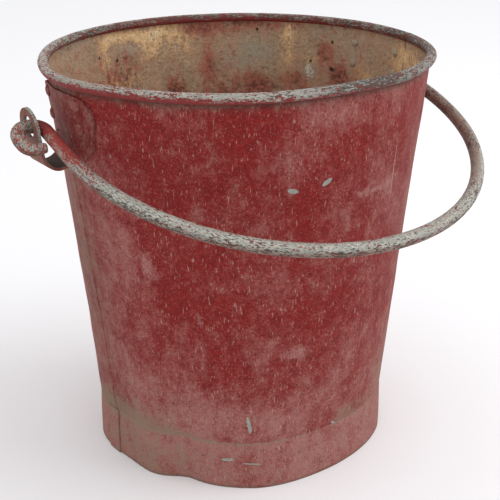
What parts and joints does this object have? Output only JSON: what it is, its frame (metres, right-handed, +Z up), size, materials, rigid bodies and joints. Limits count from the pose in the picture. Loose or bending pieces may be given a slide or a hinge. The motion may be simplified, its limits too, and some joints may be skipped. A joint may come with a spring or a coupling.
{
  "type": "metal bucket",
  "caption": "Tapered round sheet-steel bucket with a rolled rim, foot hoop, riveted ears and a swinging rod bail, for holding and carrying liquids or loose goods.",
  "frame": {"origin": "centre of the foot hoop's lower edge, on the floor", "axes": "+Z up the bucket's axis; X along the bail's hinge line; -Y towards the side on which the bail stands out"},
  "size_m": [0.376, 0.349, 0.315],
  "materials": {
    "painted_steel": "old dark red paint on galvanised sheet, chalky and worn through at the edges",
    "galvanised_steel": "weathered zinc coating, dull grey-green",
    "galvanised_rod": "weathered zinc coating with the remains of red paint"
  },
  "bodies": {
    "bucket": {"body": "painted_steel", "rim_wire": "galvanised_steel", "bottom": "galvanised_steel", "foot_hoop": "painted_steel", "ear_left": "painted_steel", "ear_right": "painted_steel", "rivet_left_1": "painted_steel", "rivet_left_2": "painted_steel", "rivet_left_3": "painted_steel", "rivet_left_4": "painted_steel", "rivet_right_1": "painted_steel", "rivet_right_2": "painted_steel", "rivet_right_3": "painted_steel", "rivet_right_4": "painted_steel"},
    "bail": {"bail": "galvanised_rod"}
  },
  "joints": [
    {"name": "bail_swing", "type": "hinge", "parent": "bucket", "child": "bail", "pos_m": [0, 0.005, 0.279], "axis": [-1, 0, 0], "range_deg": [0, 240]}
  ]
}
